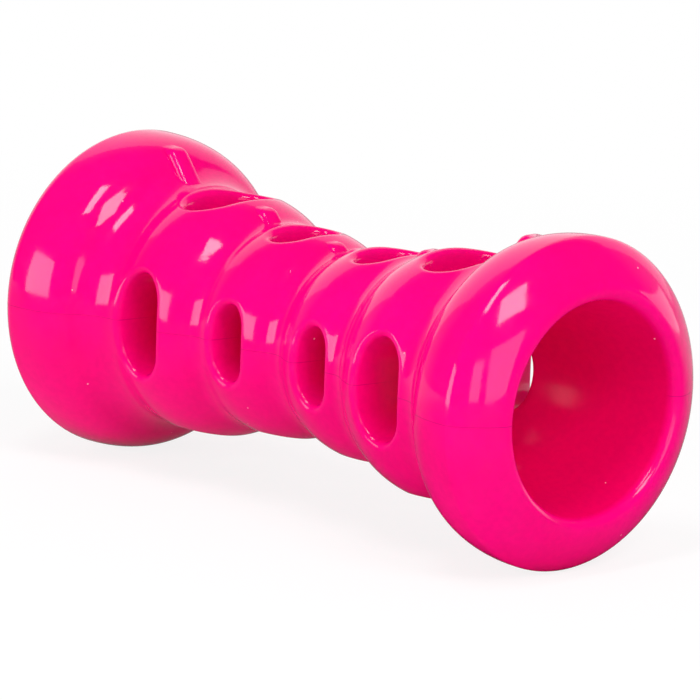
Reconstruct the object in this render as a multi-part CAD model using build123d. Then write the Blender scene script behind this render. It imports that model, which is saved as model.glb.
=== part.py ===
from build123d import *
import math
import os

# Hollow rubber chew toy, lying along X, its seam on the plane z = 0 and its middle at the origin.
# All sizes are in millimetres.

# Lengths along the axis, from the middle outwards
middle_to_inner_crest = 10.4
inner_crest_to_valley = 7.1
valley_to_outer_crest = 12.0
outer_crest_to_bell = 10.9
bell_length = 19.6
bell_crown_inset = 6.5

# Outside: the radius of the waist, then the rises and falls from there to the mouth
middle_valley_radius = 14.4
inner_rib_rise = 3.7
inner_rib_fall = 1.3
outer_rib_rise = 4.4
outer_rib_fall = 4.2
bell_rise = 10.5
mouth_fall = 8.5

# How far the bell's curves pull straight out of the valley, the crown and the mouth
bell_flank_pull = 6.4
bell_crown_pull = 9.8
bell_roll_pull = 2.3
bell_mouth_pull = 2.2

# Bore
waist_wall = 4.9
waist_bore_length = 13.0
mouth_lip = 1.2

# Slots: width is along the axis, the angle is how much of the turn a slot takes up on its crest,
# the flat is how much of a slot's end is straight, and the drafts are how its walls lean inwards
inner_slot_width = 6.6
inner_slot_angle = 45.2
outer_slot_width = 8.9
outer_slot_angle = 51.4
slot_end_flat = 0.6
slot_side_draft = 4.0
slot_end_draft = 10.0
rows_of_slots = 4

# Webs: bars along the top of the toy that stand in the valleys, each on the flank of the larger ring
# beside it, with a level top and a face that slopes down towards the middle
web_width = 3.9
web_slope = 50.0
web_depth = 2.5
web_seat = 0.2
web_to_slot = 0.3
bell_web_inset = 7.5
rib_web_reach = 0.6

# Roundings
rib_valley_rounding = 5.0
bell_valley_rounding = 8.0
slot_rounding = 2.2
mouth_rounding = 0.8
web_corner_rounding = 2.5
web_edge_rounding = 1.2

# Places along the axis
inner_crest_x = middle_to_inner_crest
inner_valley_x = inner_crest_x + inner_crest_to_valley
outer_crest_x = inner_valley_x + valley_to_outer_crest
bell_valley_x = outer_crest_x + outer_crest_to_bell
end_x = bell_valley_x + bell_length
bell_crown_x = end_x - bell_crown_inset

# Radii
inner_crest_radius = middle_valley_radius + inner_rib_rise
inner_valley_radius = inner_crest_radius - inner_rib_fall
outer_crest_radius = inner_valley_radius + outer_rib_rise
bell_valley_radius = outer_crest_radius - outer_rib_fall
bell_crown_radius = bell_valley_radius + bell_rise
mouth_ridge_radius = bell_crown_radius - mouth_fall
waist_bore_radius = middle_valley_radius - waist_wall
mouth_bore_radius = mouth_ridge_radius - mouth_lip

# Each rib's slot: place along the axis, width, half its chord, and the radius of the crest it stands on
slots = (
    (
        inner_crest_x,
        inner_slot_width,
        inner_crest_radius * math.sin(math.radians(inner_slot_angle / 2)),
        inner_crest_radius,
    ),
    (
        outer_crest_x,
        outer_slot_width,
        outer_crest_radius * math.sin(math.radians(outer_slot_angle / 2)),
        outer_crest_radius,
    ),
)

# How near an edge has to be to count as the one that is looked for
edge_tolerance = 0.01


def bore_edges():
    # A short cylinder at the waist, then one arc that opens tangentially to the mouth.
    waist_end = (waist_bore_length / 2, waist_bore_radius)
    waist = Line((0, waist_bore_radius), waist_end)
    bell = TangentArc(waist_end, (end_x, mouth_bore_radius), tangent=(1, 0))
    return [waist, bell]


def outside_edges():
    # From the mouth's ridge back to the middle: rolled end, flank, outer rib, inner rib.
    ridge = Vector(end_x, mouth_ridge_radius)
    crown = Vector(bell_crown_x, bell_crown_radius)
    root = Vector(bell_valley_x, bell_valley_radius)
    valley = Vector(inner_valley_x, inner_valley_radius)
    middle = Vector(0, middle_valley_radius)
    roll = Bezier(
        ridge,
        ridge + Vector(0, bell_mouth_pull),
        crown + Vector(bell_roll_pull, 0),
        crown,
    )
    flank = Bezier(
        crown,
        crown - Vector(bell_crown_pull, 0),
        root + Vector(0, bell_flank_pull),
        root,
    )
    outer_rib = ThreePointArc(root, (outer_crest_x, outer_crest_radius), valley)
    inner_rib = ThreePointArc(valley, (inner_crest_x, inner_crest_radius), middle)
    return [roll, flank, outer_rib, inner_rib]


def arc_point(arc, x, sunk):
    # The point at one place along a rib's arc, sunk a little under it.
    centre = arc.arc_center
    return Vector(x, centre.Y + math.sqrt(arc.radius**2 - (x - centre.X) ** 2) - sunk)


def half_outline():
    land = Line((end_x, mouth_bore_radius), (end_x, mouth_ridge_radius))
    middle = Line((0, middle_valley_radius), (0, waist_bore_radius))
    return make_face(bore_edges() + [land] + outside_edges() + [middle])


def circles_at(body, x, radius):
    # The round edges of the body at one place along its axis.
    found = []
    for edge in body.edges().filter_by(GeomType.CIRCLE):
        centre = edge.arc_center
        if abs(centre.X - x) < edge_tolerance and abs(edge.radius - radius) < edge_tolerance:
            found.append(edge)
    return found


def turned_body():
    # The outline turned about the axis, with its valleys and mouth edges rounded.
    outline = half_outline()
    outline = outline + mirror(outline, Plane.YZ)
    body = revolve(outline, Axis.X, 360)
    rib_valleys = circles_at(body, 0, middle_valley_radius)
    bell_valleys = []
    for side in (-1, 1):
        rib_valleys += circles_at(body, side * inner_valley_x, inner_valley_radius)
        bell_valleys += circles_at(body, side * bell_valley_x, bell_valley_radius)
    body = fillet(rib_valleys, rib_valley_rounding)
    body = fillet(bell_valleys, bell_valley_rounding)
    mouths = circles_at(body, -end_x, mouth_bore_radius) + circles_at(body, end_x, mouth_bore_radius)
    body = fillet(mouths, mouth_rounding)
    # The line where the turn starts and ends is laid between two rows of slots.
    return body.rotate(Axis.X, 180 / rows_of_slots)


def slot_plug(x, width, half_chord, crest_radius):
    # A plug with rounded corners that narrows inwards, standing on the crest of a rib along +Z.
    sections = []
    for height in (waist_bore_radius / 2, crest_radius + 2 * slot_rounding):
        depth = crest_radius - height
        across = width - 2 * depth * math.tan(math.radians(slot_side_draft))
        chord = 2 * half_chord - 2 * depth * math.tan(math.radians(slot_end_draft))
        section = RectangleRounded(across, chord, (across - slot_end_flat) / 2)
        sections.append(Plane(origin=(x, 0, height)) * section)
    return loft(sections, ruled=True)


def slot_plugs():
    plugs = []
    for crest_x, width, half_chord, crest_radius in slots:
        for side in (-1, 1):
            plug = slot_plug(side * crest_x, width, half_chord, crest_radius)
            for row in range(rows_of_slots):
                plugs.append(plug.rotate(Axis.X, 360 / rows_of_slots * row))
    return plugs


def slot_rims(body):
    # The outer edge of every slot: the edges within a slot's width that lie in the outer half of its wall.
    rims = []
    for edge in body.edges():
        middle = edge.position_at(0.5)
        reach = math.hypot(middle.Y, middle.Z)
        for crest_x, width, half_chord, crest_radius in slots:
            in_slot = abs(abs(middle.X) - crest_x) < width / 2 + edge_tolerance
            halfway = math.hypot((crest_radius + waist_bore_radius) / 2, half_chord)
            if in_slot and reach > halfway:
                rims.append(edge)
    return rims


def slotted_body():
    body = turned_body() - slot_plugs()
    return fillet(slot_rims(body), slot_rounding)


def web(foot, shoulder):
    # A bar on the plane y = 0: its face climbs from the foot, and its level top runs on into the shoulder.
    climb = (shoulder.Y - foot.Y) / math.tan(math.radians(web_slope))
    corner = Vector(foot.X + climb, shoulder.Y)
    base = foot.Y - web_depth
    side = make_face(Polyline(foot, corner, shoulder, (shoulder.X, base), (foot.X, base), close=True))
    # A short top takes a smaller rounding.
    longest = (shoulder.X - corner.X) / 2 / math.tan(math.radians(web_slope / 2))
    corner_rounding = min(web_corner_rounding, longest)
    side = fillet(side.vertices().sort_by_distance(corner)[0], corner_rounding)
    upright = Plane(origin=(0, 0, 0), x_dir=(1, 0, 0), z_dir=(0, -1, 0))
    bar = extrude(upright * side, web_width / 2, both=True)
    upper = []
    for edge in bar.edges():
        middle = edge.position_at(0.5)
        on_side = abs(abs(middle.Y) - web_width / 2) < edge_tolerance
        if on_side and middle.Z > foot.Y and middle.X < shoulder.X - edge_tolerance:
            upper.append(edge)
    return fillet(upper, min(web_edge_rounding, corner_rounding / 2))


def webs():
    # The webs of both ends: on the bell, on the outer rib and on the inner rib.
    flank, outer_rib, inner_rib = outside_edges()[1:]
    inner_reach = inner_slot_width / 2 + slot_rounding + web_to_slot
    outer_reach = outer_slot_width / 2 + slot_rounding + web_to_slot
    bell_x = bell_crown_x - bell_web_inset
    bell_shoulder = flank.intersect(Axis((bell_x, 0, 0), (0, 1, 0)))[0].center() - Vector(0, web_seat)
    bars = [
        web(arc_point(outer_rib, outer_crest_x + outer_reach, web_seat), bell_shoulder),
        web(
            Vector(inner_valley_x - rib_web_reach, inner_valley_radius),
            arc_point(outer_rib, outer_crest_x - outer_reach, web_seat),
        ),
        web(Vector(0, middle_valley_radius), arc_point(inner_rib, inner_crest_x - inner_reach, web_seat)),
    ]
    return bars + [mirror(bar, Plane.YZ) for bar in bars]


os.makedirs("parts", exist_ok=True)
plain_half = split(slotted_body(), Plane.XY, keep=Keep.TOP)
upper_half_shell = plain_half + webs()
lower_half_shell = mirror(plain_half, Plane.XY)
export_step(upper_half_shell, "parts/upper_half_shell.step")
export_step(lower_half_shell, "parts/lower_half_shell.step")
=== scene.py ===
import math

import bmesh
import bpy
from mathutils import Matrix, Vector


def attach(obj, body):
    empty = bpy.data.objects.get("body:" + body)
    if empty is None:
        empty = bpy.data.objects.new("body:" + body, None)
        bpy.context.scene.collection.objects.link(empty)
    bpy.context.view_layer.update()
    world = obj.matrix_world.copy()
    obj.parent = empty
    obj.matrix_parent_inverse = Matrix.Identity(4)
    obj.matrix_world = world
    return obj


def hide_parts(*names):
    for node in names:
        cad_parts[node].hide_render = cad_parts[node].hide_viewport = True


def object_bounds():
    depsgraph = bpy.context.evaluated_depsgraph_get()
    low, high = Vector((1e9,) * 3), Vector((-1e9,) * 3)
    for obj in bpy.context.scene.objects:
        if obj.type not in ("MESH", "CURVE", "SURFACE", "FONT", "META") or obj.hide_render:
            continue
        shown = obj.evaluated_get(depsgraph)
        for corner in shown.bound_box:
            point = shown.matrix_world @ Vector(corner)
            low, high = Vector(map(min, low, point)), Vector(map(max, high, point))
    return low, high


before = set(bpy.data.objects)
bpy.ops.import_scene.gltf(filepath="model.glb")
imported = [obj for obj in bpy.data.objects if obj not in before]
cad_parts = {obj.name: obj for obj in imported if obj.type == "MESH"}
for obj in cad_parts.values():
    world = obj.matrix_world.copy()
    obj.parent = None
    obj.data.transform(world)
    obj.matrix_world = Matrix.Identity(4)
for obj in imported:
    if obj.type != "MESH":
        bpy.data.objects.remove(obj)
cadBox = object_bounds()
scene = bpy.context.scene
mm = 0.001
halvings = 60
print("frame loaded")


# Outline of half the toy in millimetres: how far along the axis, how far out from it
toyOutline = {
    "middle": (0.0, 14.4),
    "innerCrest": (10.4, 18.1),
    "ribValley": (17.5, 16.8),
    "outerCrest": (29.5, 21.2),
    "bellRoot": (40.4, 17.0),
    "bellCrown": (53.5, 27.5),
    "mouthRidge": (60.0, 19.5),
    "rootPull": 6.4,
    "crownPull": 9.8,
    "rollPull": 2.3,
    "ridgePull": 2.2,
    "ribRounding": 5.0,
    "rootRounding": 8.0,
    "bellStart": 38.5,
    "boreAtWaist": 9.5,
    "waistHalf": 6.5,
    "boreAtMouth": 18.3,
    "lipRounding": 1.0,
    "landEdge": 0.12,
}


def circleThrough(a, b, c):
    d = 2 * (a[0] * (b[1] - c[1]) + b[0] * (c[1] - a[1]) + c[0] * (a[1] - b[1]))
    aa = a[0] ** 2 + a[1] ** 2
    bb = b[0] ** 2 + b[1] ** 2
    cc = c[0] ** 2 + c[1] ** 2
    x = (aa * (b[1] - c[1]) + bb * (c[1] - a[1]) + cc * (a[1] - b[1])) / d
    y = (aa * (c[0] - b[0]) + bb * (a[0] - c[0]) + cc * (b[0] - a[0])) / d
    return Vector((x, y)), math.hypot(a[0] - x, a[1] - y)


def bezierAt(points, t):
    a, b, c, d = points
    s = 1 - t
    return a * s ** 3 + b * (3 * s * s * t) + c * (3 * s * t * t) + d * t ** 3


def bezierNormal(points, t):
    step = 1e-4
    along = bezierAt(points, t + step) - bezierAt(points, t - step)
    return Vector((-along.y, along.x)).normalized()


def readOutline(o):
    # works out the arcs, curves and valley roundings once
    innerMid, innerRad = circleThrough(o["middle"], o["innerCrest"], o["ribValley"])
    outerMid, outerRad = circleThrough(o["ribValley"], o["outerCrest"], o["bellRoot"])
    crown = Vector(o["bellCrown"])
    root = Vector(o["bellRoot"])
    ridge = Vector(o["mouthRidge"])
    flank = (root, root + Vector((0, o["rootPull"])), crown - Vector((o["crownPull"], 0)), crown)
    roll = (crown, crown + Vector((o["rollPull"], 0)), ridge + Vector((0, o["ridgePull"])), ridge)
    f = o["ribRounding"]
    # rounding in the middle valley
    midCentre = Vector((0, innerMid.y + math.sqrt((innerRad + f) ** 2 - innerMid.x ** 2)))
    # rounding between the two ribs
    gap = outerMid - innerMid
    a = ((innerRad + f) ** 2 - (outerRad + f) ** 2 + gap.length_squared) / (2 * gap.length)
    h = math.sqrt((innerRad + f) ** 2 - a * a)
    ribCentre = innerMid + gap.normalized() * a + Vector((-gap.y, gap.x)).normalized() * h
    # rounding at the root of the bell, found by halving
    rootF = o["rootRounding"]
    low, high = 0.0, 0.8  # the crown end is left out
    for _ in range(halvings):
        t = (low + high) / 2
        centre = bezierAt(flank, t) + bezierNormal(flank, t) * rootF
        if (centre - outerMid).length < outerRad + rootF:
            low = t
        else:
            high = t
    flankStart = (low + high) / 2
    rootCentre = bezierAt(flank, flankStart) + bezierNormal(flank, flankStart) * rootF
    boreRise = o["boreAtMouth"] - o["boreAtWaist"]
    boreRun = ridge.x - o["waistHalf"]
    return {
        "innerMid": innerMid, "innerRad": innerRad, "outerMid": outerMid, "outerRad": outerRad,
        "flank": flank, "roll": roll, "flankStart": flankStart,
        "midCentre": midCentre, "ribCentre": ribCentre, "rootCentre": rootCentre,
        "boreRad": (boreRun ** 2 + boreRise ** 2) / (2 * boreRise),
    }


shape = readOutline(toyOutline)


def touchX(arcMid, arcRad, centre, rounding):
    # where a valley rounding meets a rib's arc
    return (arcMid + (centre - arcMid) * (arcRad / (arcRad + rounding))).x


ribJoins = [
    touchX(shape["innerMid"], shape["innerRad"], shape["midCentre"], toyOutline["ribRounding"]),
    touchX(shape["innerMid"], shape["innerRad"], shape["ribCentre"], toyOutline["ribRounding"]),
    touchX(shape["outerMid"], shape["outerRad"], shape["ribCentre"], toyOutline["ribRounding"]),
    touchX(shape["outerMid"], shape["outerRad"], shape["rootCentre"], toyOutline["rootRounding"]),
]


def ribRadius(x):
    # outside radius of the ribbed middle
    def valley(centre, rounding):
        return centre.y - math.sqrt(max(0.0, rounding ** 2 - (x - centre.x) ** 2))

    def crest(mid, rad):
        return mid.y + math.sqrt(rad ** 2 - (x - mid.x) ** 2)

    if x < ribJoins[0]:
        return valley(shape["midCentre"], toyOutline["ribRounding"])
    if x < ribJoins[1]:
        return crest(shape["innerMid"], shape["innerRad"])
    if x < ribJoins[2]:
        return valley(shape["ribCentre"], toyOutline["ribRounding"])
    if x < ribJoins[3]:
        return crest(shape["outerMid"], shape["outerRad"])
    return valley(shape["rootCentre"], toyOutline["rootRounding"])


def boreRadius(x):
    past = max(0.0, x - toyOutline["waistHalf"])
    return toyOutline["boreAtWaist"] + shape["boreRad"] - math.sqrt(shape["boreRad"] ** 2 - past ** 2)


# The slots: place, width and chord on the crest, shape of the ends, lean of the walls, roundings
slotSizes = {
    "inner": {"x": 10.4, "width": 7.4, "chord": 14.0, "crest": 18.1},
    "outer": {"x": 29.5, "width": 9.9, "chord": 18.6, "crest": 21.2},
    "endFlat": 0.6,
    "oval": 0.6,
    "sideDraft": math.radians(8),
    "endDraft": math.radians(10),
    "lip": 1.4,
    "innerEdge": 0.5,
    "edgeRounds": 40,
}

# How finely the shell is divided
shellMesh = {
    "side": 18,
    "top": 20,
    "sideGrading": 1.4,
    "rings": 15,
    "ringGrading": 1.25,
    "lipSteps": 7,
    "wallSteps": 7,
    "boreRings": 9,
    "rootSteps": 12,
    "flankSteps": 36,
    "rollSteps": 28,
    "mouthSteps": 8,
    "boreSteps": 22,
    "sectorAngle": math.radians(45),
}

sideShares = [(i / shellMesh["side"]) ** shellMesh["sideGrading"] for i in range(shellMesh["side"] + 1)]


def onTurn(x, angle, radius):
    # front row at angle 0, turning up towards the top row
    return Vector((x, -radius * math.cos(angle), radius * math.sin(angle)))


def conicArc(a, corner, b, t):
    s = 1 - t
    w = 2 * s * t * math.sqrt(0.5)
    return (a * (s * s) + corner * w + b * (t * t)) / (s * s + w + t * t)


def slotEnd(slot):
    # radius of a slot's corners on the crest, and the length of its rounded end
    corner = (slot["width"] - slotSizes["endFlat"]) / 2
    return corner, math.pi * corner + slotSizes["endFlat"]


def slotWalk(slot, share, half, reach):
    # a step along a plain round-ended slot; share runs 0 to 1.5, from the front line to the end's middle
    flat = slotSizes["endFlat"] / 2
    corner = half - flat
    run = reach - corner
    if share <= 1:
        return half, share * run
    topCorner, endLength = slotEnd(slot)
    turnShare = topCorner * math.pi / 2 / endLength
    past = share - 1
    if past < turnShare:
        turn = past / turnShare * math.pi / 2
        return flat + corner * math.cos(turn), run + corner * math.sin(turn)
    return flat * (0.5 - past) / (0.5 - turnShare), reach


def slotPoint(slot, share, height):
    # a point of the slot's oval wall; share runs 0 to 3, from the front line over the end and back
    depth = slot["crest"] - height
    half = slot["width"] / 2 - depth * math.tan(slotSizes["sideDraft"])
    reach = slot["chord"] / 2 - depth * math.tan(slotSizes["endDraft"])
    side = -1 if share < 1.5 else 1
    off, up = slotWalk(slot, min(share, 3 - share), half, reach)
    turn = math.atan2(up * half, off * reach)
    oval = slotSizes["oval"]
    off += (half * math.cos(turn) - off) * oval
    up += (reach * math.sin(turn) - up) * oval
    return Vector((slot["x"] + side * off, -height, up))


def slotEdge(slot, share, radiusAt):
    # where the slot's wall meets a turned surface
    height = slot["crest"]
    for _ in range(slotSizes["edgeRounds"]):
        point = slotPoint(slot, share, height)
        height = math.sqrt(radiusAt(point.x) ** 2 - point.z ** 2)
    return slotPoint(slot, share, height), height


def slotShares(slot):
    # places round the slot's edge, matched to the sides and the top of its cell
    corner, endLength = slotEnd(slot)
    run = slot["chord"] / 2 - corner
    sideLength = run + corner * math.pi / 4
    shares = []
    for s in sideShares:
        d = s * sideLength
        shares.append(d / run if d < run else 1 + (d - run) / endLength)
    back = [3 - s for s in reversed(shares)]
    top = [shares[-1] + (back[0] - shares[-1]) * i / shellMesh["top"] for i in range(1, shellMesh["top"])]
    return shares + top + back


def cellFrame(low, high):
    # the edge of a cell, from the front line up one side, over the top and down the other
    a = shellMesh["sectorAngle"]
    left = [(low, s * a) for s in sideShares]
    top = [(low + (high - low) * i / shellMesh["top"], a) for i in range(1, shellMesh["top"])]
    right = [(high, s * a) for s in reversed(sideShares)]
    return left + top + right


def besideEdge(edge, width, radiusAt, slot):
    # points on the turned surface a little way out from the slot's edge
    step = 0.01
    core = 1.0
    beside = []
    last = len(edge) - 1
    for i, p in enumerate(edge):
        along = edge[min(i + 1, last)] - edge[max(i - 1, 0)]
        if i in (0, last):
            along = Vector((0, 0, 1))
        r = math.hypot(p.y, p.z)
        slope = (radiusAt(p.x + step) - radiusAt(p.x - step)) / (2 * step)
        normal = Vector((-slope, p.y / r, p.z / r)).normalized()
        out = along.cross(normal).normalized()
        away = p - Vector((slot["x"], p.y, min(p.z, core)))
        if out.dot(away) < 0:
            out.negate()
        around = Vector((0, -p.z / r, p.y / r)) * -1  # direction of growing angle
        x = p.x + width * out.x
        angle = math.atan2(p.z, -p.y) + width * out.dot(around) / r
        if i in (0, last):
            angle = 0.0
        beside.append((x, angle))
    return beside


def slotCell(low, high, slot):
    # rows of points from the cell's outer frame, over the lip, down the slot's wall and along the bore
    shares = slotShares(slot)
    outerFrame = cellFrame(low, high)
    edges = [slotEdge(slot, s, ribRadius) for s in shares]
    innerEdges = [slotEdge(slot, s, boreRadius) for s in shares]
    edge = [p for p, h in edges]
    innerEdge = [p for p, h in innerEdges]
    lip = slotSizes["lip"]
    innerLip = slotSizes["innerEdge"]
    beside = besideEdge(edge, lip, ribRadius, slot)
    innerBeside = besideEdge(innerEdge, innerLip, boreRadius, slot)
    below = [slotPoint(slot, s, h - lip) for s, (p, h) in zip(shares, edges)]
    above = [slotPoint(slot, s, h + innerLip) for s, (p, h) in zip(shares, innerEdges)]
    rows = []
    for j in range(shellMesh["rings"], -1, -1):
        t = (j / shellMesh["rings"]) ** shellMesh["ringGrading"]
        row = []
        for (fx, fa), (bx, ba) in zip(outerFrame, beside):
            x = bx + (fx - bx) * t
            row.append(onTurn(x, ba + (fa - ba) * t, ribRadius(x)))
        rows.append(row)
    start = rows[-1]
    for j in range(1, shellMesh["lipSteps"] + 1):
        t = j / shellMesh["lipSteps"]
        rows.append([conicArc(a, c, b, t) for a, c, b in zip(start, edge, below)])
    for j in range(1, shellMesh["wallSteps"] + 1):
        t = j / shellMesh["wallSteps"]
        rows.append([a.lerp(b, t) for a, b in zip(below, above)])
    end = [onTurn(x, angle, boreRadius(x)) for x, angle in innerBeside]
    for t in (1 / 3, 2 / 3):
        rows.append([conicArc(a, c, b, t) for a, c, b in zip(above, innerEdge, end)])
    for j in range(shellMesh["boreRings"] + 1):
        t = j / shellMesh["boreRings"]
        row = []
        for (fx, fa), (bx, ba) in zip(outerFrame, innerBeside):
            x = bx + (fx - bx) * t
            row.append(onTurn(x, ba + (fa - ba) * t, boreRadius(x)))
        rows.append(row)
    return rows


def bellRows():
    # the bell from its root over the crown, round the lip and back along the bore
    m = shellMesh
    line = []
    root = shape["rootCentre"]
    toFlank = bezierAt(shape["flank"], shape["flankStart"]) - root
    firstTurn = -math.acos((toyOutline["bellStart"] - root.x) / toyOutline["rootRounding"])
    lastTurn = math.atan2(toFlank.y, toFlank.x)
    for i in range(m["rootSteps"] + 1):
        turn = firstTurn + (lastTurn - firstTurn) * i / m["rootSteps"]
        line.append(root + Vector((math.cos(turn), math.sin(turn))) * toyOutline["rootRounding"])
    for i in range(1, m["flankSteps"] + 1):
        along = shape["flankStart"] + (1 - shape["flankStart"]) * i / m["flankSteps"]
        line.append(bezierAt(shape["flank"], along))
    for i in range(1, m["rollSteps"] + 1):
        line.append(bezierAt(shape["roll"], i / m["rollSteps"]))
    end = toyOutline["mouthRidge"][0]
    r = toyOutline["lipRounding"]
    corner = Vector((end, toyOutline["boreAtMouth"]))
    landEnd = corner + Vector((0, r))
    boreEnd = Vector((end - r, boreRadius(end - r)))
    line.append(landEnd + Vector((0, toyOutline["landEdge"])))
    for i in range(m["mouthSteps"] + 1):
        line.append(conicArc(landEnd, corner, boreEnd, i / m["mouthSteps"]))
    for i in range(1, m["boreSteps"] + 1):
        x = boreEnd.x + (toyOutline["bellStart"] - boreEnd.x) * i / m["boreSteps"]
        line.append(Vector((x, boreRadius(x))))
    a = shellMesh["sectorAngle"]
    return [[onTurn(p.x, s * a, p.y) for s in sideShares] for p in line]


def sectorMesh():
    # one eighth of a turn of one end: half an inner slot, half an outer slot and their share of the bell
    bm = bmesh.new()
    m = shellMesh
    wallStart = m["rings"] + m["lipSteps"]
    wallEnd = wallStart + m["wallSteps"]
    extraRows = 3  # first of the root, edge of the land, first of the mouth
    lipEnd = m["rootSteps"] + m["flankSteps"] + m["rollSteps"] + m["mouthSteps"] + extraRows
    parts = [
        slotCell(0.0, shape["ribCentre"].x, slotSizes["inner"]),
        slotCell(shape["ribCentre"].x, toyOutline["bellStart"], slotSizes["outer"]),
        bellRows(),
    ]
    inside = bm.verts.layers.float.new("inside")
    spans = ((wallStart, wallEnd), (wallStart, wallEnd), (lipEnd - 1, lipEnd))
    for rows, (lastOutside, firstInside) in zip(parts, spans):
        grid = [[bm.verts.new(p * mm) for p in row] for row in rows]
        for i, row in enumerate(grid):
            # 0 outside and 1 in the bore, rising down the slot walls; it sets the painted shade and the
            # duller gloss inside
            deep = (i - lastOutside) / (firstInside - lastOutside)
            for vert in row:
                vert[inside] = min(max(deep, 0), 1)
        for upper, lower in zip(grid, grid[1:]):
            for k in range(len(upper) - 1):
                bm.faces.new((upper[k], upper[k + 1], lower[k + 1], lower[k]))
    mesh = bpy.data.meshes.new("shellSector")
    bm.to_mesh(mesh)
    bm.free()
    return mesh


# The tree that turns the sector into half a shell
halfShell = {
    "rows": 2,
    "rowSpacing": math.radians(-90),
    "weld": 0.00002,
    "upperFirst": 0.0,
    "lowerFirst": math.radians(-180),
}


def turnTree():
    tree = bpy.data.node_groups.new("turnAndMirrorShell", "GeometryNodeTree")
    sockets = tree.interface
    sockets.new_socket("Sector", in_out="INPUT", socket_type="NodeSocketGeometry")
    sockets.new_socket("Rows", in_out="INPUT", socket_type="NodeSocketInt")
    sockets.new_socket("Row Spacing", in_out="INPUT", socket_type="NodeSocketFloat")
    sockets.new_socket("First Row", in_out="INPUT", socket_type="NodeSocketFloat")
    sockets.new_socket("Weld", in_out="INPUT", socket_type="NodeSocketFloat")
    sockets.new_socket("Rubber", in_out="INPUT", socket_type="NodeSocketMaterial")
    sockets.new_socket("Shell", in_out="OUTPUT", socket_type="NodeSocketGeometry")
    nodes = tree.nodes
    link = tree.links.new
    ins = nodes.new("NodeGroupInput")
    outs = nodes.new("NodeGroupOutput")
    # the other half of each slot
    mirrored = nodes.new("GeometryNodeTransform")
    mirrored.inputs["Scale"].default_value = (1, 1, -1)
    mirroredFlip = nodes.new("GeometryNodeFlipFaces")
    link(ins.outputs["Sector"], mirrored.inputs["Geometry"])
    link(mirrored.outputs[0], mirroredFlip.inputs[0])
    # one point for each row
    points = nodes.new("GeometryNodeMeshLine")
    points.inputs["Offset"].default_value = (0, 0, 0)
    link(ins.outputs["Rows"], points.inputs["Count"])
    index = nodes.new("GeometryNodeInputIndex")
    turn = nodes.new("ShaderNodeMath")
    turn.operation = "MULTIPLY_ADD"
    link(index.outputs[0], turn.inputs[0])
    link(ins.outputs["Row Spacing"], turn.inputs[1])
    link(ins.outputs["First Row"], turn.inputs[2])
    nextTurn = nodes.new("ShaderNodeMath")
    nextTurn.operation = "ADD"
    link(turn.outputs[0], nextTurn.inputs[0])
    link(ins.outputs["Row Spacing"], nextTurn.inputs[1])
    joined = nodes.new("GeometryNodeJoinGeometry")
    for angle, piece in ((turn, ins.outputs["Sector"]), (nextTurn, mirroredFlip.outputs[0])):
        about = nodes.new("ShaderNodeCombineXYZ")
        link(angle.outputs[0], about.inputs["X"])
        rotation = nodes.new("FunctionNodeEulerToRotation")
        link(about.outputs[0], rotation.inputs[0])
        onRows = nodes.new("GeometryNodeInstanceOnPoints")
        link(points.outputs[0], onRows.inputs["Points"])
        link(piece, onRows.inputs["Instance"])
        link(rotation.outputs[0], onRows.inputs["Rotation"])
        link(onRows.outputs[0], joined.inputs[0])
    # the far end
    otherEnd = nodes.new("GeometryNodeTransform")
    otherEnd.inputs["Scale"].default_value = (-1, 1, 1)
    realEnd = nodes.new("GeometryNodeRealizeInstances")
    otherFlip = nodes.new("GeometryNodeFlipFaces")
    bothEnds = nodes.new("GeometryNodeJoinGeometry")
    link(joined.outputs[0], realEnd.inputs[0])
    link(realEnd.outputs[0], otherEnd.inputs["Geometry"])
    link(otherEnd.outputs[0], otherFlip.inputs[0])
    link(otherFlip.outputs[0], bothEnds.inputs[0])
    link(realEnd.outputs[0], bothEnds.inputs[0])
    welded = nodes.new("GeometryNodeMergeByDistance")
    link(bothEnds.outputs[0], welded.inputs["Geometry"])
    link(ins.outputs["Weld"], welded.inputs["Distance"])
    realized = nodes.new("GeometryNodeRealizeInstances")
    link(welded.outputs[0], realized.inputs[0])
    painted = nodes.new("GeometryNodeSetMaterial")
    link(realized.outputs[0], painted.inputs["Geometry"])
    link(ins.outputs["Rubber"], painted.inputs["Material"])
    link(painted.outputs[0], outs.inputs["Shell"])
    return tree


def plainMesh(obj):
    # what the modifiers give, as the object's own mesh
    bpy.context.view_layer.update()
    graph = bpy.context.evaluated_depsgraph_get()
    mesh = bpy.data.meshes.new_from_object(obj.evaluated_get(graph), depsgraph=graph)
    obj.modifiers.clear()
    obj.data = mesh


# The seam: a fine raised line where the two halves of the mould met
seam = {
    "height": 0.025,
    "reach": 0.4,
    "endGap": 0.5,  # it stops short of the mouth
    "bellWall": 1.5,  # a point this far out from the bore is on the outside of the bell
    "skin": 0.3,
}


def closeAlongSeam(mesh):
    bm = bmesh.new()
    bm.from_mesh(mesh)
    openEdges = [e for e in bm.edges if e.is_boundary]
    filled = bmesh.ops.holes_fill(bm, edges=openEdges, sides=0)["faces"]
    bmesh.ops.recalc_face_normals(bm, faces=bm.faces)
    for face in bm.faces:
        face.smooth = True
    for face in filled:
        face.smooth = False
        for edge in face.edges:
            edge.smooth = False
    # raise the outside a little along the seam
    seamEnd = toyOutline["mouthRidge"][0] - seam["endGap"]
    most = toyOutline["bellCrown"][1]
    for vert in bm.verts:
        x, y, z = vert.co / mm
        if abs(z) > seam["reach"] or abs(x) > seamEnd:
            continue
        r = math.hypot(y, z)
        if abs(x) < toyOutline["bellStart"]:
            outside = ribRadius(abs(x))
        else:
            outside = boreRadius(abs(x)) + seam["bellWall"]
        if r > outside - seam["skin"]:
            lift = seam["height"] * (1 - abs(z) / seam["reach"]) ** 2
            lift = min(lift, most - r)
            vert.co += Vector((0, y / r, z / r)) * lift * mm
    bm.to_mesh(mesh)
    bm.free()


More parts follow.
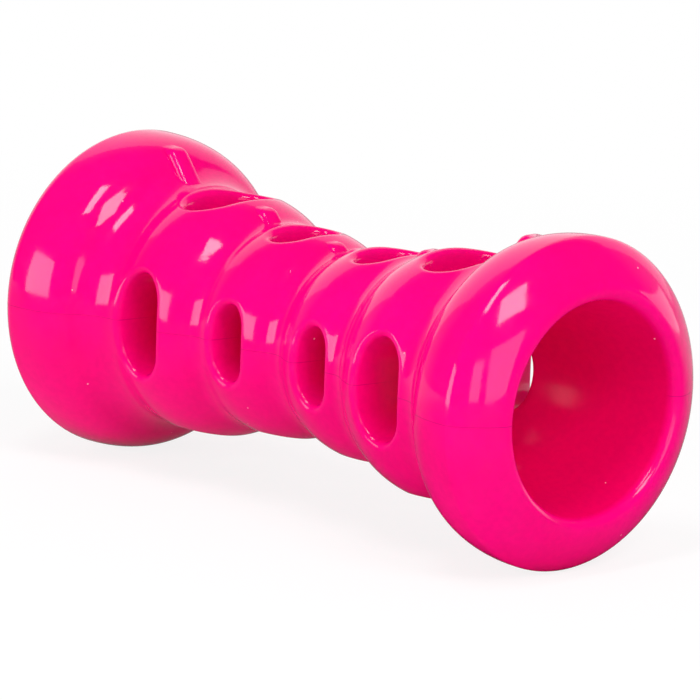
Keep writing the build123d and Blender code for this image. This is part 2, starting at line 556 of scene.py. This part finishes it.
# Webs: bars in the valleys along the top, each on the larger ring's flank
webSizes = {
    "width": 3.9,
    "slope": math.radians(50),
    "depth": 2.5,
    "seat": 0.2,
    "slotGap": 1.0,
    "bellInset": 7.5,
    "ribReach": 0.6,
    "cornerRounding": 2.5,
    "edgeRounding": 1.2,
    "steps": 5,
    "sharpAngle": math.radians(40),
}


def bellPoint(x):
    # the point of the bell's flank at one place along the axis, found by halving
    low, high = 0.0, 1.0
    for _ in range(halvings):
        t = (low + high) / 2
        if bezierAt(shape["flank"], t).x < x:
            low = t
        else:
            high = t
    return bezierAt(shape["flank"], low)


def webEnds():
    # foot and shoulder of the web on the bell, on the outer rib and on the inner rib
    w = webSizes
    inner = slotSizes["inner"]
    outer = slotSizes["outer"]
    margin = slotSizes["lip"] + w["slotGap"]
    seat = Vector((0, w["seat"]))

    def crest(mid, rad, x):
        return Vector((x, mid.y + math.sqrt(rad ** 2 - (x - mid.x) ** 2))) - seat

    outerLeft = crest(shape["outerMid"], shape["outerRad"], outer["x"] - outer["width"] / 2 - margin)
    outerRight = crest(shape["outerMid"], shape["outerRad"], outer["x"] + outer["width"] / 2 + margin)
    innerLeft = crest(shape["innerMid"], shape["innerRad"], inner["x"] - inner["width"] / 2 - margin)
    valley = Vector(toyOutline["ribValley"]) - Vector((w["ribReach"], 0))
    bell = bellPoint(toyOutline["bellCrown"][0] - w["bellInset"]) - seat
    return [(outerRight, bell), (valley, outerLeft), (Vector(toyOutline["middle"]), innerLeft)]


def webOutline(foot, shoulder):
    # side view of one web, with its corner rounded
    w = webSizes
    slope = Vector((math.cos(w["slope"]), math.sin(w["slope"])))
    corner = foot + slope * ((shoulder.y - foot.y) / slope.y)
    reach = w["cornerRounding"] * math.tan(w["slope"] / 2)
    start = corner - slope * reach
    centre = Vector((corner.x + reach, corner.y - w["cornerRounding"]))
    points = [foot]
    firstTurn = math.atan2(start.y - centre.y, start.x - centre.x)
    for i in range(w["steps"] + 1):
        turn = firstTurn + (math.pi / 2 - firstTurn) * i / w["steps"]
        points.append(centre + Vector((math.cos(turn), math.sin(turn))) * w["cornerRounding"])
    base = foot.y - w["depth"]
    return points + [shoulder, Vector((shoulder.x, base)), Vector((foot.x, base))]


def webMesh():
    # the webs of both ends
    bm = bmesh.new()
    half = webSizes["width"] / 2
    for foot, shoulder in webEnds():
        outline = webOutline(foot, shoulder)
        for end in (-1, 1):
            sides = []
            for y in (-half, half):
                sides.append([bm.verts.new(Vector((end * p.x, y, p.y)) * mm) for p in outline])
            near, far = sides
            count = len(outline)
            bm.faces.new(near)
            bm.faces.new(far)
            for i in range(count):
                bm.faces.new((near[i], near[(i + 1) % count], far[(i + 1) % count], far[i]))
            upper = []
            shoulderAt = count - 3
            for line in sides:
                for a, b in zip(line[:shoulderAt], line[1:shoulderAt + 1]):
                    upper.append(bm.edges.get((a, b)))
            bmesh.ops.recalc_face_normals(bm, faces=bm.faces)
            bmesh.ops.bevel(
                bm, geom=upper, offset=webSizes["edgeRounding"] * mm, segments=webSizes["steps"],
                profile=0.5, affect="EDGES",
            )
    mesh = bpy.data.meshes.new("webs")
    bm.to_mesh(mesh)
    bm.free()
    return mesh


def addWebs(obj, material):
    webs = bpy.data.objects.new("webs", webMesh())
    scene.collection.objects.link(webs)
    joined = obj.modifiers.new("webs", "BOOLEAN")
    joined.operation = "UNION"
    joined.solver = "EXACT"
    joined.object = webs
    plainMesh(obj)
    bpy.data.objects.remove(webs)
    mesh = obj.data
    mesh.materials.clear()
    mesh.materials.append(material)
    for polygon in mesh.polygons:
        polygon.material_index = 0
        polygon.use_smooth = True
    mesh.set_sharp_from_angle(angle=webSizes["sharpAngle"])


# Pink rubber: scales are per metre, seam and bump in metres
rubber = {
    "colour": (0.95, 0.0008, 0.205, 1),
    "deepColour": (0.9, 0.0005, 0.18, 1),
    "upperRoughness": 0.08,
    "lowerRoughness": 0.1,
    # painted shade: a deeper red for the slot walls and the bore, standing in for the shade inside them
    "paintedBoreShade": (0.82, 0.0003, 0.11, 1),
    "innerRoughness": 0.2,
    "innerSpecular": 0.08,
    "specular": 0.3,
    "smoother": 0.03,
    "rougher": 0.04,
    "cloudScale": 45,
    "cloudDetail": 3,
    "mottleScale": 900,
    "mottleLow": 0.95,
    "toneFrom": 0.35,
    "toneTo": 0.65,
    "speckScale": 260,
    "speckColour": (1.0, 0.35, 0.5, 1),
    "speckSize": 0.045,
    "speckShare": 0.2,
    "seamHalf": 0.0001,
    "seamCore": 0.5,
    "seamShade": 0.77,
    "grainScale": 420,
    "grainDetail": 4,
    "grainFrom": 0.3,
    "grainTo": 0.7,
    "bumpStrength": 0.03,
    "bumpDepth": 0.0003,
}


def pinkRubber(name, roughness):
    material = bpy.data.materials.new(name)
    material.use_nodes = True
    nodes = material.node_tree.nodes
    link = material.node_tree.links.new
    shader = nodes["Principled BSDF"]
    place = nodes.new("ShaderNodeTexCoord")
    cloud = nodes.new("ShaderNodeTexNoise")
    cloud.inputs["Scale"].default_value = rubber["cloudScale"]
    cloud.inputs["Detail"].default_value = rubber["cloudDetail"]
    tone = nodes.new("ShaderNodeValToRGB")
    tone.color_ramp.elements[0].position = rubber["toneFrom"]
    tone.color_ramp.elements[0].color = rubber["deepColour"]
    tone.color_ramp.elements[1].position = rubber["toneTo"]
    tone.color_ramp.elements[1].color = rubber["colour"]
    link(place.outputs["Object"], cloud.inputs["Vector"])
    link(cloud.outputs["Fac"], tone.inputs["Fac"])
    # fine mottling
    fine = nodes.new("ShaderNodeTexNoise")
    fine.inputs["Scale"].default_value = rubber["mottleScale"]
    link(place.outputs["Object"], fine.inputs["Vector"])
    mottle = nodes.new("ShaderNodeMapRange")
    mottle.inputs["From Min"].default_value = rubber["toneFrom"]
    mottle.inputs["From Max"].default_value = rubber["toneTo"]
    mottle.inputs["To Min"].default_value = rubber["mottleLow"]
    link(fine.outputs["Fac"], mottle.inputs["Value"])
    mottled = nodes.new("ShaderNodeVectorMath")
    mottled.operation = "SCALE"
    within = nodes.new("ShaderNodeAttribute")
    within.attribute_name = "inside"
    # painted shade: the colour turns a deeper red down the slot walls and in the bore
    inner = nodes.new("ShaderNodeMixRGB")
    inner.inputs["Color2"].default_value = rubber["paintedBoreShade"]
    link(within.outputs["Fac"], inner.inputs["Fac"])
    link(tone.outputs["Color"], inner.inputs["Color1"])
    link(inner.outputs["Color"], mottled.inputs[0])
    # the seam is a shade darker
    parts = nodes.new("ShaderNodeSeparateXYZ")
    link(place.outputs["Object"], parts.inputs["Vector"])
    off = nodes.new("ShaderNodeMath")
    off.operation = "ABSOLUTE"
    link(parts.outputs["Z"], off.inputs[0])
    line = nodes.new("ShaderNodeMapRange")
    line.inputs["From Min"].default_value = rubber["seamHalf"] * rubber["seamCore"]
    line.inputs["From Max"].default_value = rubber["seamHalf"]
    shade = nodes.new("ShaderNodeMapRange")
    shade.inputs["To Min"].default_value = rubber["seamShade"]
    link(within.outputs["Fac"], shade.inputs["Value"])
    link(shade.outputs["Result"], line.inputs["To Min"])
    link(off.outputs[0], line.inputs["Value"])
    shaded = nodes.new("ShaderNodeMath")
    shaded.operation = "MULTIPLY"
    link(mottle.outputs["Result"], shaded.inputs[0])
    link(line.outputs["Result"], shaded.inputs[1])
    link(shaded.outputs[0], mottled.inputs["Scale"])
    # a few specks of dust
    dust = nodes.new("ShaderNodeTexVoronoi")
    dust.inputs["Scale"].default_value = rubber["speckScale"]
    link(place.outputs["Object"], dust.inputs["Vector"])
    near = nodes.new("ShaderNodeMath")
    near.operation = "LESS_THAN"
    near.inputs[1].default_value = rubber["speckSize"]
    link(dust.outputs["Distance"], near.inputs[0])
    parted = nodes.new("ShaderNodeSeparateColor")
    link(dust.outputs["Color"], parted.inputs["Color"])
    chosen = nodes.new("ShaderNodeMath")
    chosen.operation = "LESS_THAN"
    chosen.inputs[1].default_value = rubber["speckShare"]
    link(parted.outputs["Red"], chosen.inputs[0])
    speck = nodes.new("ShaderNodeMath")
    speck.operation = "MULTIPLY"
    link(near.outputs[0], speck.inputs[0])
    link(chosen.outputs[0], speck.inputs[1])
    dusted = nodes.new("ShaderNodeMixRGB")
    dusted.inputs["Color2"].default_value = rubber["speckColour"]
    link(speck.outputs[0], dusted.inputs["Fac"])
    link(mottled.outputs["Vector"], dusted.inputs["Color1"])
    link(dusted.outputs["Color"], shader.inputs["Base Color"])
    # uneven gloss and a slight grain
    grain = nodes.new("ShaderNodeTexNoise")
    grain.inputs["Scale"].default_value = rubber["grainScale"]
    grain.inputs["Detail"].default_value = rubber["grainDetail"]
    link(place.outputs["Object"], grain.inputs["Vector"])
    gloss = nodes.new("ShaderNodeMapRange")
    gloss.inputs["From Min"].default_value = rubber["grainFrom"]
    gloss.inputs["From Max"].default_value = rubber["grainTo"]
    gloss.inputs["To Min"].default_value = roughness - rubber["smoother"]
    gloss.inputs["To Max"].default_value = roughness + rubber["rougher"]
    link(grain.outputs["Fac"], gloss.inputs["Value"])
    # the bore is duller than the outside
    dulled = nodes.new("ShaderNodeMapRange")
    dulled.inputs["To Max"].default_value = rubber["innerRoughness"]
    link(within.outputs["Fac"], dulled.inputs["Value"])
    link(gloss.outputs["Result"], dulled.inputs["To Min"])
    link(dulled.outputs["Result"], shader.inputs["Roughness"])
    bump = nodes.new("ShaderNodeBump")
    bump.inputs["Strength"].default_value = rubber["bumpStrength"]
    bump.inputs["Distance"].default_value = rubber["bumpDepth"]
    link(grain.outputs["Fac"], bump.inputs["Height"])
    link(bump.outputs["Normal"], shader.inputs["Normal"])
    shine = nodes.new("ShaderNodeMapRange")
    shine.inputs["To Min"].default_value = rubber["specular"]
    shine.inputs["To Max"].default_value = rubber["innerSpecular"]
    link(within.outputs["Fac"], shine.inputs["Value"])
    link(shine.outputs["Result"], shader.inputs["Specular IOR Level"])
    return material


upperRubber = pinkRubber("pinkRubberUpper", rubber["upperRoughness"])
lowerRubber = pinkRubber("pinkRubberLower", rubber["lowerRoughness"])
print("materials made")


def makeHalf(name, node, firstRow, webbed, material, tree):
    obj = bpy.data.objects.new(name, sectorMesh())
    scene.collection.objects.link(obj)
    turned = obj.modifiers.new("turned", "NODES")
    turned.node_group = tree
    values = {
        "Rows": halfShell["rows"],
        "Row Spacing": halfShell["rowSpacing"],
        "First Row": firstRow,
        "Weld": halfShell["weld"],
        "Rubber": material,
    }
    for item in tree.interface.items_tree:
        if item.in_out == "INPUT" and item.name in values:
            turned[item.identifier] = values[item.name]
    plainMesh(obj)
    closeAlongSeam(obj.data)
    if webbed:
        addWebs(obj, material)
    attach(obj, "root")
    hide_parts(node)
    return obj


shellTree = turnTree()
upperFirst = halfShell["upperFirst"]
lowerFirst = halfShell["lowerFirst"]
upperShell = makeHalf("upperShell", "upper_half_shell", upperFirst, True, upperRubber, shellTree)
lowerShell = makeHalf("lowerShell", "lower_half_shell", lowerFirst, False, lowerRubber, shellTree)
print("shells made", len(upperShell.data.polygons), len(lowerShell.data.polygons))


# Floor and light: how they light, how they are shown and how they are mirrored in the gloss
studio = {
    "floorSize": 20.0,
    "floorColour": (0.85, 0.85, 0.85, 1),
    "floorShown": (0.95, 0.95, 0.95, 1),
    "floorMirrored": (0.06, 0.06, 0.06, 1),
    "floorLift": 0.85,
    "worldStrength": 0.36,
    "worldMirrored": 0.03,
    "backdropMirrored": 0.55,
    "backdropFrom": 0.3,
    "backdropTo": 0.95,
    "floorBehindFrom": 0.05,
    "floorBehindTo": 0.3,
    "mirroredFrom": -0.02,
    "mirroredTo": 0.14,
}

# Softboxes: degrees off the camera (left is minus, up is plus), distance and size in metres, glow
softboxes = {
    "leftSoftbox": {"side": -67, "up": -2, "away": 0.8, "wide": 0.5, "tall": 0.58, "glow": 5.2},
    "rightSoftbox": {"side": 31, "up": -1, "away": 0.9, "wide": 0.42, "tall": 0.4, "glow": 2.2},
    "frontStrip": {"side": 7, "up": -3, "away": 0.9, "wide": 0.16, "tall": 0.3, "glow": 2.5},
    "upperSoftbox": {"side": -13, "up": 55, "away": 0.9, "wide": 0.18, "tall": 0.36, "glow": 13.0},
    "rightHighSoftbox": {"side": 27, "up": 34, "away": 0.9, "wide": 0.3, "tall": 0.3, "glow": 10.5},
    "sideSoftbox": {"side": 116, "up": 3, "away": 0.9, "wide": 0.5, "tall": 0.34, "glow": 1.5},
    "backSoftbox": {"side": 178, "up": 38, "away": 1.3, "wide": 2.4, "tall": 1.1, "glow": 0.6},
}

# Camera: place and lens worked out from the photograph, for a square picture
view = {
    "azimuth": 47.377,
    "elevation": 13.827,
    "roll": 0.47,
    "aboutAxis": 2.2,
    "distance": 1.07331,
    "sensor": 36,
    "lens": 331.398,
    "shiftX": 0.00997,
    "shiftY": -0.00953,
    "nearest": 0.01,
    "farthest": 50,
}


def viewAxes():
    # right, up and back of the camera
    az = math.radians(view["azimuth"])
    el = math.radians(view["elevation"])
    roll = math.radians(view["roll"])
    back = Vector((math.sin(az) * math.cos(el), -math.cos(az) * math.cos(el), math.sin(el)))
    right = Vector((math.cos(az), math.sin(az), 0))
    up = back.cross(right)
    rolledRight = right * math.cos(roll) + up * math.sin(roll)
    rolledUp = up * math.cos(roll) - right * math.sin(roll)
    about = Matrix.Rotation(math.radians(view["aboutAxis"]), 3, "X")
    return [about @ axis for axis in (rolledRight, rolledUp, back)]


def addCamera():
    right, up, back = viewAxes()
    camera = bpy.data.cameras.new("photoCamera")
    camera.sensor_width = view["sensor"]
    camera.lens = view["lens"]
    camera.shift_x = view["shiftX"]
    camera.shift_y = view["shiftY"]
    camera.clip_start = view["nearest"]
    camera.clip_end = view["farthest"]
    obj = bpy.data.objects.new("photoCamera", camera)
    scene.collection.objects.link(obj)
    place = Matrix((right, up, back)).transposed().to_4x4()
    place.translation = back * view["distance"]
    obj.matrix_world = place
    scene.camera = obj


def addSoftbox(name, box):
    right, up, back = viewAxes()
    side = math.radians(box["side"])
    lift = math.radians(box["up"])
    towards = (back * math.cos(side) + right * math.sin(side)) * math.cos(lift) + up * math.sin(lift)
    lamp = bpy.data.lights.new(name, "AREA")
    lamp.shape = "RECTANGLE"
    lamp.size = box["wide"]
    lamp.size_y = box["tall"]
    lamp.energy = box["glow"] * math.pi * box["wide"] * box["tall"]
    obj = bpy.data.objects.new(name, lamp)
    scene.collection.objects.link(obj)
    obj.location = towards * box["away"]
    obj.rotation_euler = towards.to_track_quat("Z", "Y").to_euler()
    obj.visible_camera = False


def addFloor():
    half = studio["floorSize"] / 2
    z = cadBox[0][2]
    mesh = bpy.data.meshes.new("paleFloor")
    corners = [(-half, -half, z), (half, -half, z), (half, half, z), (-half, half, z)]
    mesh.from_pydata(corners, [], [(0, 1, 2, 3)])
    floor = bpy.data.objects.new("paleFloor", mesh)
    scene.collection.objects.link(floor)
    material = bpy.data.materials.new("paleFloor")
    material.use_nodes = True
    nodes = material.node_tree.nodes
    link = material.node_tree.links.new
    nodes.clear()
    result = nodes.new("ShaderNodeOutputMaterial")
    matt = nodes.new("ShaderNodeBsdfDiffuse")
    glow = nodes.new("ShaderNodeEmission")
    rays = nodes.new("ShaderNodeLightPath")
    tint = nodes.new("ShaderNodeMixRGB")
    tint.inputs["Color1"].default_value = studio["floorColour"]
    tint.inputs["Color2"].default_value = studio["floorShown"]
    link(rays.outputs["Is Camera Ray"], tint.inputs["Fac"])
    mirrored = nodes.new("ShaderNodeMixRGB")
    mirrored.inputs["Color2"].default_value = studio["floorMirrored"]
    link(rays.outputs["Is Glossy Ray"], mirrored.inputs["Fac"])
    link(tint.outputs["Color"], mirrored.inputs["Color1"])
    link(mirrored.outputs["Color"], matt.inputs["Color"])
    share = nodes.new("ShaderNodeMath")
    share.operation = "MULTIPLY"
    mix = nodes.new("ShaderNodeMixShader")
    # behind the toy the floor is part of the white backdrop, in the gloss of its edges too
    place = nodes.new("ShaderNodeTexCoord")
    behind = nodes.new("ShaderNodeVectorMath")
    behind.operation = "DOT_PRODUCT"
    behind.inputs[1].default_value = -viewAxes()[2]
    link(place.outputs["Object"], behind.inputs[0])
    backdrop = nodes.new("ShaderNodeMapRange")
    backdrop.inputs["From Min"].default_value = studio["floorBehindFrom"]
    backdrop.inputs["From Max"].default_value = studio["floorBehindTo"]
    link(behind.outputs["Value"], backdrop.inputs["Value"])
    nearBackdrop = nodes.new("ShaderNodeMapRange")
    nearBackdrop.inputs["From Min"].default_value = studio["mirroredFrom"]
    nearBackdrop.inputs["From Max"].default_value = studio["mirroredTo"]
    link(behind.outputs["Value"], nearBackdrop.inputs["Value"])
    mirror = nodes.new("ShaderNodeMath")
    mirror.operation = "MULTIPLY"
    mirror.inputs[1].default_value = studio["backdropMirrored"]
    link(rays.outputs["Is Glossy Ray"], mirror.inputs[0])
    glossed = nodes.new("ShaderNodeMath")
    glossed.operation = "MULTIPLY"
    link(mirror.outputs[0], glossed.inputs[0])
    link(nearBackdrop.outputs["Result"], glossed.inputs[1])
    seen = nodes.new("ShaderNodeMath")
    seen.operation = "MAXIMUM"
    link(rays.outputs["Is Camera Ray"], seen.inputs[0])
    link(glossed.outputs[0], seen.inputs[1])
    white = nodes.new("ShaderNodeMapRange")
    white.inputs["To Min"].default_value = studio["floorLift"]
    link(backdrop.outputs["Result"], white.inputs["Value"])
    link(seen.outputs[0], share.inputs[0])
    link(white.outputs["Result"], share.inputs[1])
    link(share.outputs[0], mix.inputs["Fac"])
    link(matt.outputs[0], mix.inputs[1])
    link(glow.outputs[0], mix.inputs[2])
    link(mix.outputs[0], result.inputs["Surface"])
    mesh.materials.append(material)


def addWorld():
    world = bpy.data.worlds.new("paleStudio")
    scene.world = world
    world.use_nodes = True
    nodes = world.node_tree.nodes
    link = world.node_tree.links.new
    sky = nodes["Background"]
    sky.inputs["Color"].default_value = (1, 1, 1, 1)
    rays = nodes.new("ShaderNodeLightPath")
    place = nodes.new("ShaderNodeTexCoord")
    # the white backdrop behind the toy also shows in the gloss of its edges
    behind = nodes.new("ShaderNodeVectorMath")
    behind.operation = "DOT_PRODUCT"
    behind.inputs[1].default_value = -viewAxes()[2]
    link(place.outputs["Generated"], behind.inputs[0])
    backdrop = nodes.new("ShaderNodeMapRange")
    backdrop.inputs["From Min"].default_value = studio["backdropFrom"]
    backdrop.inputs["From Max"].default_value = studio["backdropTo"]
    backdrop.inputs["To Max"].default_value = studio["backdropMirrored"]
    link(behind.outputs["Value"], backdrop.inputs["Value"])
    glossed = nodes.new("ShaderNodeMath")
    glossed.operation = "MULTIPLY"
    link(rays.outputs["Is Glossy Ray"], glossed.inputs[0])
    link(backdrop.outputs["Result"], glossed.inputs[1])
    seen = nodes.new("ShaderNodeMath")
    seen.operation = "MAXIMUM"
    link(rays.outputs["Is Camera Ray"], seen.inputs[0])
    link(glossed.outputs[0], seen.inputs[1])
    plain = nodes.new("ShaderNodeMapRange")
    plain.inputs["To Min"].default_value = studio["worldStrength"]
    plain.inputs["To Max"].default_value = studio["worldMirrored"]
    link(rays.outputs["Is Glossy Ray"], plain.inputs["Value"])
    shown = nodes.new("ShaderNodeMapRange")
    link(plain.outputs["Result"], shown.inputs["To Min"])
    link(seen.outputs[0], shown.inputs["Value"])
    link(shown.outputs["Result"], sky.inputs["Strength"])


addCamera()
addWorld()
addFloor()
for lampName, lampBox in softboxes.items():
    addSoftbox(lampName, lampBox)
scene.view_settings.view_transform = "Standard"
print("studio made")
